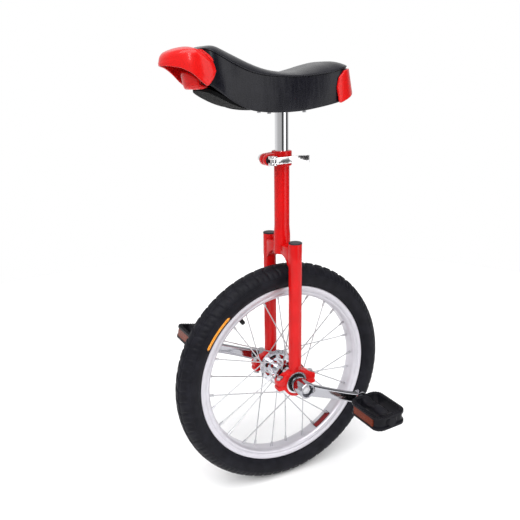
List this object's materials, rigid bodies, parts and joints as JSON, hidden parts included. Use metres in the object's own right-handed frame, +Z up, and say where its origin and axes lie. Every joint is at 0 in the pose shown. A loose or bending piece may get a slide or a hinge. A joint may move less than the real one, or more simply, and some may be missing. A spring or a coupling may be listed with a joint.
{
  "type": "unicycle",
  "caption": "Small-wheel unicycle with a two-leg fork, curved saddle with lifting handle and bumper, quick-release seat post, cotterless cranks and platform pedals.",
  "frame": {"origin": "tyre contact point on the ground, under the middle of the axle", "axes": "+X forward to the saddle's lifting handle, +Y to the rider's left along the axle, +Z up"},
  "size_m": [0.406, 0.3672, 0.7581],
  "materials": {
    "frame_paint": "gloss",
    "end_plug": "satin",
    "bearing_steel": "polished",
    "bearing_seal": "matte",
    "fastener_steel": "zinc plated",
    "clamp_chrome": "polished",
    "tyre_rubber": "matte",
    "tube_rubber": "matte",
    "rim_alloy": "satin",
    "spoke_steel": "zinc plated",
    "hub_alloy": "polished",
    "crank_chrome": "polished",
    "pedal_plastic": "textured",
    "reflector_amber": "prismatic",
    "post_chrome": "polished",
    "base_plastic": "matte",
    "saddle_vinyl": "semi-gloss vinyl",
    "red_plastic": "gloss"
  },
  "bodies": {
    "frame": {"main_tube": "frame_paint", "crown_left": "frame_paint", "crown_right": "frame_paint", "fork_leg_left": "frame_paint", "fork_leg_right": "frame_paint", "bearing_holder_left": "frame_paint", "bearing_holder_right": "frame_paint", "bearing_cap_left": "frame_paint", "bearing_cap_right": "frame_paint", "seat_clamp": "frame_paint", "leg_end_plug_left": "end_plug", "leg_end_plug_right": "end_plug", "bearing_outer_race_left": "bearing_steel", "bearing_outer_race_right": "bearing_steel", "bearing_balls_left": "bearing_steel", "bearing_balls_right": "bearing_steel", "bearing_seals_left": "bearing_seal", "bearing_seals_right": "bearing_seal", "holder_bolts": "fastener_steel", "holder_nuts": "fastener_steel", "clamp_skewer": "clamp_chrome", "cam_pin": "clamp_chrome", "clamp_nut": "clamp_chrome", "cam_washer": "end_plug"},
    "lever": {"quick_release_lever": "clamp_chrome"},
    "wheel": {"tyre": "tyre_rubber", "inner_tube": "tube_rubber", "rim_tape": "tube_rubber", "valve_stem": "tube_rubber", "valve_cap": "tube_rubber", "rim": "rim_alloy", "spokes_left": "spoke_steel", "spokes_right": "spoke_steel", "spoke_nipples": "spoke_steel", "hub_shell": "hub_alloy", "axle": "bearing_steel", "bearing_inner_race_left": "bearing_steel", "bearing_inner_race_right": "bearing_steel", "crank_left": "crank_chrome", "crank_right": "crank_chrome", "crank_nuts": "fastener_steel", "pedal_spindle_left": "fastener_steel", "pedal_spindle_right": "fastener_steel"},
    "pedal_left": {"pedal_body_left": "pedal_plastic", "pedal_dust_cap_left": "pedal_plastic", "pedal_reflectors_left": "reflector_amber"},
    "pedal_right": {"pedal_body_right": "pedal_plastic", "pedal_dust_cap_right": "pedal_plastic", "pedal_reflectors_right": "reflector_amber"},
    "seat": {"seat_post": "post_chrome", "saddle_studs": "fastener_steel", "saddle_nuts": "fastener_steel", "saddle_base": "base_plastic", "saddle_pad": "saddle_vinyl", "front_handle": "red_plastic", "rear_bumper": "red_plastic"}
  },
  "joints": [
    {"name": "wheel_spin", "type": "hinge", "parent": "frame", "child": "wheel", "pos_m": [0, 0, 0.203], "axis": [0, 1, 0], "continuous": true},
    {"name": "pedal_spin_left", "type": "hinge", "parent": "wheel", "child": "pedal_left", "pos_m": [-0.1035, 0.143, 0.16574], "axis": [0, 1, 0], "continuous": true},
    {"name": "pedal_spin_right", "type": "hinge", "parent": "wheel", "child": "pedal_right", "pos_m": [0.1035, -0.143, 0.24026], "axis": [0, 1, 0], "continuous": true},
    {"name": "seat_height", "type": "slide", "parent": "frame", "child": "seat", "axis": [0, 0, 1], "range_m": [-0.05, 0.055]},
    {"name": "lever_open", "type": "hinge", "parent": "frame", "child": "lever", "pos_m": [0.027, 0.019, 0.585], "axis": [0, 0, -1], "range_deg": [0, 180]}
  ]
}
